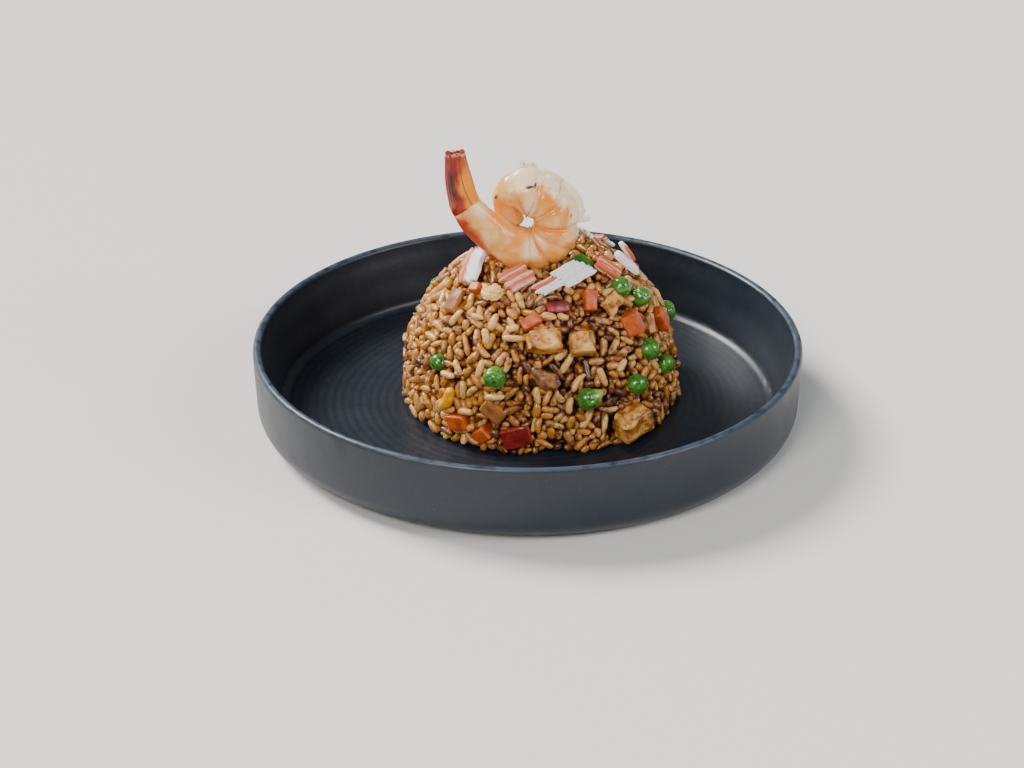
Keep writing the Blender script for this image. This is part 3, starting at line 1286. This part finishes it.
def prawn_flesh(u, v):
    """The body's surface: u runs from the tail joint to the head end and v round it."""
    shares, past = np.clip((u - 0.012) / 0.945, 0, 1), np.clip((u - 0.957) / 0.043, 0, 1)
    middle, ahead, side, depth, tall, deep = prawn_spine(shares)
    turn = 2 * pi * v
    outer, stop = np.cos(turn), shares * (len(prawn_stops()) - 1)
    slant = stop - 0.16 * outer
    crease = sum(deepness * bell(at, width, slant) for at, deepness, width in CREASES)
    crease = crease * (1 - 0.55 * ease(0.2, 1, outer)) * (1 - 0.85 * ease(-0.35, -0.9, outer))
    nearest = np.min([np.abs(slant - at) for at, _, _ in CREASES], axis=0)
    full = 0.985 - 0.07 * ease(0.35, 0, stop) - crease + 0.035 * ease(0, 0.6, nearest)
    full *= cap(1 - u / 0.012) * cap(past)
    opened = band(6.8, 8.6, 12, 13.2, stop) * ease(0, 0.9, outer)
    inward = 0.16 * band(9, 10.5, 13, 14, stop) + 0.24 * band(11, 12.4, 14, 15, stop)
    up = full * outer * (1 - 0.06 * opened + inward * ease(0, 1, -outer)) * tall[:, 0]
    held = -EYE_LIMIT - 1.5 * np.tanh((-up - EYE_LIMIT) / 1.5)
    up = np.where(up < -EYE_LIMIT, held, up)[:, None]
    back = (full * np.sin(turn) * (1 - 0.5 * opened * outer))[:, None]
    return middle + ahead * (1.6 * past)[:, None] + side * up + depth * deep * back


def tube(name, columns, rows, place):
    """A sheet rolled up, whose seam and narrowed ends are merged."""
    piece = sheet(name, columns, rows, place)
    close_up(piece)
    return piece


ORANGE_SPOTS = [
    # strength, x, z, half width, half height and turn, as seen from the front
    (0.95, 6.6, 10.6, 3.4, 2.0, -58), (0.8, 9.2, 7.2, 3, 1.4, -20), (0.8, 7.5, -0.6, 6, 1.2, -7),
    (0.7, 13, 3.6, 1.3, 4.5, -15), (0.75, 9, -9.4, 4.4, 1.2, -35), (0.6, -5.5, -5.5, 5, 1.6, 30),
    (0.75, -10.2, 6.8, 2.2, 3, 0), (0.5, -4.8, 2.6, 1.6, 5, 0), (0.65, -9.8, 1.2, 6, 1.2, -42),
    (0.5, 0, -12.6, 9, 1.6, 0), (0.55, 3, 14.6, 2.4, 1.2, 10), (0.4, 14, -7, 2.5, 3, 0),
]
WHITE_SPOTS = [
    (0.9, 0.6, 8.7, 3.6, 4.6, 0), (0.85, 0.6, -8, 2.4, 4, 0), (0.6, 5.5, -4.6, 3.4, 1.8, -30),
    (0.95, -17.6, 7.2, 3.8, 1.9, -42),
]
RED_SPOTS = [
    (0.7, -19, -1, 7, 2.2, -44), (0.6, 14.8, 3.6, 0.7, 1.5, 0), (0.35, 10.5, -10.6, 1.6, 0.8, -30),
    (0.45, -22.4, 4, 3, 3, 0),
]
CHAR_SPOTS = [
    (1, 0.2, 15.2, 2.1, 0.5, 8), (0.9, 2.4, 15.6, 0.4, 1.2, -8), (0.9, 11.7, 15.7, 0.6, 0.6, 0),
    (0.8, 11, 13.4, 0.3, 1.6, -10), (0.8, 15, 4, 0.5, 1.1, 0), (0.8, -11.6, 9.4, 0.7, 1.6, -30),
    (0.6, -5, 13, 0.5, 0.4, 0), (0.55, -6.4, 11.8, 0.5, 0.4, 0),
]


def spotted(points, spots):
    """The sum of soft spots at points on the prawn."""
    total = 0
    for strength, x, z, wide, high, turn in spots:
        dx, dz = points[:, 0] - x, points[:, 2] - z
        c, s = cos(radians(turn)), sin(radians(turn))
        along, across = c * dx + s * dz, c * dz - s * dx
        total = total + strength * np.exp(-((along / wide) ** 2) - (across / high) ** 2)
    return total


def prawn_finish(prawn):
    finish = Finish("cooked_prawn_flesh")
    orange, white, red, char = (finish.painted(name) for name in ("orange", "white", "red", "char"))
    vein, cloud, fine = finish.noise(1.6, 5, distortion=0.8), finish.noise(4.5, 4), finish.noise(0.6, 3)
    shade = finish.mix(cloud.rise(0.42, 0.66) * 0.7, tuple(prawn.flesh), (0.86, 0.56, 0.26))
    shade = finish.mix(white * (cloud * 0.6 + 0.55), shade, tuple(prawn.white))
    orange = orange + (vein - 0.5) * 0.7 * orange.rise(0.05, 0.4)
    shade = finish.mix(orange.rise(0.15, 0.95), shade, tuple(prawn.orange))
    red = red + (vein - 0.5) * 0.6 * red.rise(0.05, 0.5)
    shade = finish.mix(red.rise(0.2, 0.95), shade, tuple(prawn.red))
    char = char + (fine - 0.5) * 0.8 * char.rise(0.05, 0.4)
    shade = finish.mix(char.rise(0.3, 0.8), shade, (0.07, 0.018, 0.006))
    return finish.surface(
        Base_Color=shade,
        Roughness=fine * 0.22 + 0.2,
        Normal=finish.bump(fine, 0.05, finish.bump(vein, 0.16)),
        **moist(0.3, (1.0, 0.4, 0.15), 2.5, 0.3, 0.14),
    )


def color_prawn(piece, flap=False):
    """Paints the stains and scorch marks of the front, and only faint patches on the back."""
    p = corners(piece)
    far = np.hypot(p[:, 0], p[:, 2])
    front = ease(0.1, -0.45, outwards(piece)[:, 1])
    stop = len(TAIL_SIDE) + (np.degrees(np.arctan2(p[:, 2], p[:, 0])) - CURL_START) / CURL_STEP
    folds = sum(bell(at, 0.3, stop) for at, _, _ in CREASES[3:]) * ease(-9, -5, p[:, 0])
    orange = 0.26 + 0.45 * folds * ease(14, 9, far) + spotted(p, ORANGE_SPOTS)
    white = ease(12.5, 15.5, far) * ease(-6, 2, p[:, 2]) * ease(-10, -3, p[:, 0]) + spotted(p, WHITE_SPOTS)
    under = -(p[:, 2] + 0.98 * (p[:, 0] + 17.4)) / 1.4
    red = 1.05 * ease(-5, -12, p[:, 0]) * ease(1.5, 5.2, under) + spotted(p, RED_SPOTS)
    char = spotted(p, CHAR_SPOTS)
    if flap:
        orange, red, white = orange * 0.25, red * 0.3, np.ones(len(p))
        speck = ease(0.42, 0.6, wobble(p * np.array([1, 0.2, 1]), 1.1, 8)) * ease(18.5, 20.5, far)
        char = char * 0.8 + speck
    patches = wobble(p, 5, 12)
    orange = orange * (0.45 + 0.55 * front) + (0.4 * ease(0, 0.4, patches)) * (1 - front)
    red = red * (0.7 + 0.3 * front)
    for name, values in (("orange", orange), ("white", white), ("red", red), ("char", char * front)):
        paint(piece, name, np.clip(values, 0, 1))


FLAP_START, FLAP_SWEEP, FLAP_ROOT = -2, 103, 12.6
FLAP_EDGE = [
    # share of the sweep, and how far the edge stands from the middle of the curl
    (0, 20.6), (0.1, 20.5), (0.42, 20.6), (0.62, 20.3), (0.8, 20.7), (0.9, 21.9), (1, 23.2),
]


def prawn_flap(u, v):
    """The flap's surface: u runs along the prawn's back and v from its root over its ragged edge and back."""
    turn = FLAP_SWEEP * u + FLAP_START
    share = (turn - CURL_START) / (CURL_STEP * CURL_STEPS)
    rag = 0.32 * np.sin(u * 43) * np.sin(u * 19 + 1) + 0.14 * np.sin(u * 103 + 2)
    ends = cap(1 - ease(0, 0.035, u)) * cap(1 - ease(0, 0.05, 1 - u))
    torn = 1.3 * (1 - ease(0.05, 0.085, u)) - 0.5 * bell(0.1, 0.014, u) - 0.7 * bell(0.915, 0.013, u)
    outer = np.interp(u, *np.transpose(FLAP_EDGE)) + (rag * 0.6 + torn) * ends
    around = 2 * pi * v
    out = 0.5 - 0.5 * np.cos(around)
    reach = (FLAP_ROOT + outer) / 2 * (1 - ends) + (FLAP_ROOT + (outer - FLAP_ROOT) * out) * ends
    thick = (2.1 - 1.6 * out) * np.sin(around) * ends
    wave = (0.8 * np.sin(9 * u) + 0.2 * np.sin(31 * u + 1)) * out ** 2
    y = 4.5 * share ** 2 + 0.7 + wave + thick
    return np.column_stack([reach * np.cos(np.radians(turn)), y, reach * np.sin(np.radians(turn))])


class FRIEDRICE_OT_prawn(bpy.types.Operator):
    """Loft the curled prawn with its creases and the flap that opened along its back"""

    bl_idname = "fried_rice.prawn"
    bl_label = "Prawn"

    def execute(self, context):
        finish = prawn_finish(settings_of("rice_prawn"))
        body = tube("prawn_flesh", 340, 96, prawn_flesh)
        skin = corners(body)
        swell(body, 0.28 * wobble(skin, 5, 2) + 0.1 * wobble(skin, 1.8, 5))
        color_prawn(body)
        flap = tube("prawn_back_flap", 220, 40, prawn_flap)
        swell(flap, 0.12 * wobble(corners(flap), 2.2, 3))
        color_prawn(flap, flap=True)
        for piece in (body, flap):
            settle(piece, Matrix.Translation(PRAWN_PLACE * MM))
            serve(piece, finish, "prawn_body")
        return {"FINISHED"}


def tail_spine():
    """The tail's base, the point that bends it, its tip and the direction in which it leaves the body."""
    joint, ahead = prawn_spine(np.array([0.0]))[:2]
    base = joint[0] + ahead[0] * 0.5
    tip = np.array([-25.8, joint[0][1] - 0.5, 27.6])
    return base, base + (tip - base) * 0.35 + np.array([-1.2, 0, 0]), tip, -ahead[0]


TAIL_COLUMNS = 200
TAIL_GIRTH = [
    # share of the length, half height and half depth
    (0, 5.5, 4.9), (0.12, 5.7, 5), (0.35, 5.3, 4.4), (0.65, 4.8, 3.4), (0.9, 3.9, 2.6), (1, 3.5, 2.2),
]


def tail_shell(u, v):
    """The tail's surface: u runs from its base to its broken tip and v round it."""
    base, bend, tip, start = tail_spine()
    share = np.clip((u - 0.02) / 0.95, 0, 1)
    closing = cap(1 - u / 0.02) * cap((u - 0.97) / 0.03)
    s = share[:, None]
    middle = base * (1 - s) ** 2 + 2 * bend * s * (1 - s) + tip * s * s
    ahead = unit(2 * (bend - base) * (1 - s) + 2 * (tip - bend) * s)
    ahead = unit(start * (1 - ease(0, 0.1, share))[:, None] + ahead * ease(0, 0.1, share)[:, None])
    side = unit(np.cross([0, 1, 0], ahead))
    depth = np.cross(ahead, side)
    girth = np.array(TAIL_GIRTH)
    tall, deep = (np.interp(share, girth[:, 0], girth[:, k]) for k in (1, 2))
    turn = 2 * pi * v
    blades = np.abs(np.sin(2.5 * turn + 0.5)) ** 0.6
    ridged = 0.985 + 0.1 * ease(0.05, 0.5, share) * (blades - 0.5)
    ridged = ridged + (0.02 * np.sin(17 * turn) - 0.05) * ease(0.02, 0.2, share)
    ragged = 0.35 * np.sin(3 * turn) + 0.6 * (blades - 0.6) + 0.25 * np.sin(11 * turn)
    ragged = ragged * ease(0.85, 1, share)
    out = side * (tall * np.cos(turn))[:, None] + depth * (deep * np.sin(turn))[:, None]
    return middle + out * (ridged * closing)[:, None] + ahead * (ragged * closing)[:, None]


def shell_finish(prawn):
    finish = Finish("prawn_tail_shell")
    along, right, groove = (finish.painted(name) for name in ("along", "right", "groove"))
    fine, cloud = finish.noise(0.5, 3), finish.noise(2.2, 4, finish.place((1, 1, 0.4)))
    shade = finish.mix(cloud.rise(0.4, 0.62), tuple(prawn.shell), (0.42, 0.028, 0.003))
    warm = (right + (cloud - 0.5) * 0.9).rise(0.05, 0.55) * along.rise(1.0, 0.62)
    shade = finish.mix(warm, shade, (0.8, 0.25, 0.008))
    shade = finish.mix((groove + (cloud - 0.5) * 0.6).rise(0.45, 0.9) * 0.75, shade, (0.2, 0.012, 0.006))
    shade = finish.mix(finish.painted("streak"), shade, (0.035, 0.004, 0.004))
    shade = finish.mix(finish.painted("rim") * cloud.rise(0.4, 0.6) * 0.8, shade, (0.8, 0.42, 0.26))
    return finish.surface(
        Base_Color=shade,
        Roughness=fine * 0.2 + 0.24, Specular_IOR_Level=0.35,
        Normal=finish.bump(fine, 0.04, finish.bump(cloud, 0.15)),
        **moist(0.05, (1.0, 0.3, 0.08), 1.5, 0.15, 0.12),
    )


class FRIEDRICE_OT_prawn_tail(bpy.types.Operator):
    """Loft the ridged tail shell and tear its tip"""

    bl_idname = "fried_rice.prawn_tail"
    bl_label = "Prawn tail"

    def execute(self, context):
        shell = sheet("prawn_tail_shell", TAIL_COLUMNS, 120, tail_shell)
        place = corners(shell)
        base, _, tip, _ = tail_spine()
        column = np.arange(len(place)) % (TAIL_COLUMNS + 1)
        along = np.clip((column / TAIL_COLUMNS - 0.02) / 0.95, 0, 1)
        axis = base + (tip - base) * along[:, None] + np.outer(np.sin(pi * along), (-1.4, 0, 0))
        right = (place[:, 0] - axis[:, 0]) / 5
        turn = np.arctan2(place[:, 1] - axis[:, 1], place[:, 0] - axis[:, 0])
        groove = (1 - np.abs(np.sin(4 * turn + 0.5))) ** 2
        drift = 0.12 * wobble(place, 4, 31)
        streak = bell(-0.3, 0.26, right + drift) * band(0.15, 0.4, 0.66, 0.9, along)
        streak[place[:, 1] >= axis[:, 1]] = 0
        rim = ease(0.945, 0.985, along) * (along < 1)
        groove[along >= 1] = 1
        marks = {"along": along, "right": right, "groove": groove, "streak": streak, "rim": rim}
        for name, values in marks.items():
            paint(shell, name, values)
        close_up(shell)
        swell(shell, 0.1 * wobble(corners(shell), 2.4, 11))
        settle(shell, Matrix.Translation(PRAWN_PLACE * MM))
        serve(shell, shell_finish(settings_of("rice_prawn")), "prawn_tail")
        return {"FINISHED"}


# The stage

SOFTNESS = radians(25)  # how wide each light looks from the object


def aimed(name, kind, place, aim):
    """A light or camera at a place in metres that looks at the aim."""
    thing = bpy.data.objects.new(name, kind)
    bpy.context.scene.collection.objects.link(thing)
    thing.location = place
    thing.rotation_euler = (Vector(aim) - Vector(place)).to_track_quat("-Z", "Y").to_euler()
    return thing


class FRIEDRICE_OT_stage(bpy.types.Operator):
    """Set up the floor, the soft lights and the camera"""

    bl_idname = "fried_rice.stage"
    bl_label = "Stage"

    def execute(self, context):
        stage = settings_of("rice_stage")
        deselect()
        bpy.ops.mesh.primitive_plane_add(size=30)
        floor = started("floor")
        matt = Finish("plain_floor").surface(Base_Color=(*stage.floor, 1), Roughness=0.6)
        floor.data.materials.append(matt)
        world = bpy.data.worlds.new("studio")
        context.scene.world = world
        world.use_nodes = True
        sky = world.node_tree.nodes["Background"].inputs
        sky["Color"].default_value, sky["Strength"].default_value = (0.9, 0.93, 1, 1), 0.15
        lamps = [
            # name, where the light comes from, its strength and colour
            ("key", (-0.62, 0.42, 0.72), 5.6, (1, 0.98, 0.95)),
            ("front", (-0.42, -0.85, 0.75), 2.3, (1, 0.97, 0.93)),
            ("fill", (0.75, -0.35, 0.55), 1.7, (0.95, 0.97, 1)),
        ]
        for name, place, strength, shade in lamps:
            light = bpy.data.lights.new(name, "SUN")
            light.energy, light.angle, light.color = strength, SOFTNESS, shade
            aimed(name, light, place, (0, 0, 0.04))
        camera = bpy.data.cameras.new("camera")
        camera.lens, camera.clip_start, camera.clip_end = stage.lens, 0.01, 20
        aim = Vector((-0.0057, 0, 0.0108))
        back = Vector((0, -cos(stage.climb), sin(stage.climb))) * stage.distance
        context.scene.camera = aimed("camera", camera, aim + back, aim)
        return {"FINISHED"}


# The add-on

GROUPS = {
    "rice_plate": PlateSettings, "rice_grains": RiceSettings, "rice_prawn": PrawnSettings,
    "rice_pieces": PiecesSettings, "rice_stage": StageSettings,
}
OPERATORS = [
    FRIEDRICE_OT_plate, FRIEDRICE_OT_rice, FRIEDRICE_OT_peas, FRIEDRICE_OT_carrots, FRIEDRICE_OT_chicken,
    FRIEDRICE_OT_strips, FRIEDRICE_OT_corn_and_egg, FRIEDRICE_OT_crab_sticks, FRIEDRICE_OT_prawn,
    FRIEDRICE_OT_prawn_tail, FRIEDRICE_OT_stage,
]


class FRIEDRICE_PT_panel(bpy.types.Panel):
    """Lists the pieces and their sizes and colours"""

    bl_idname = "FRIEDRICE_PT_panel"
    bl_label = "Plate of fried rice"
    bl_space_type = "VIEW_3D"
    bl_region_type = "UI"
    bl_category = "Fried rice"

    def draw(self, context):
        for operator in OPERATORS:
            self.layout.operator(operator.bl_idname)
        for name, group in GROUPS.items():
            box = self.layout.box()
            box.label(text=group.__doc__)
            for setting in group.__annotations__:
                box.prop(getattr(context.scene, name), setting)


def register():
    for kind in (*GROUPS.values(), *OPERATORS, FRIEDRICE_PT_panel):
        bpy.utils.register_class(kind)
    for name, group in GROUPS.items():
        setattr(bpy.types.Scene, name, PointerProperty(type=group))


def unregister():
    for name in GROUPS:
        delattr(bpy.types.Scene, name)
    for kind in reversed((*GROUPS.values(), *OPERATORS, FRIEDRICE_PT_panel)):
        bpy.utils.unregister_class(kind)


def main():
    register()
    for operator in OPERATORS:
        family, name = operator.bl_idname.split(".")
        getattr(getattr(bpy.ops, family), name)()


if __name__ == "__main__":
    main()
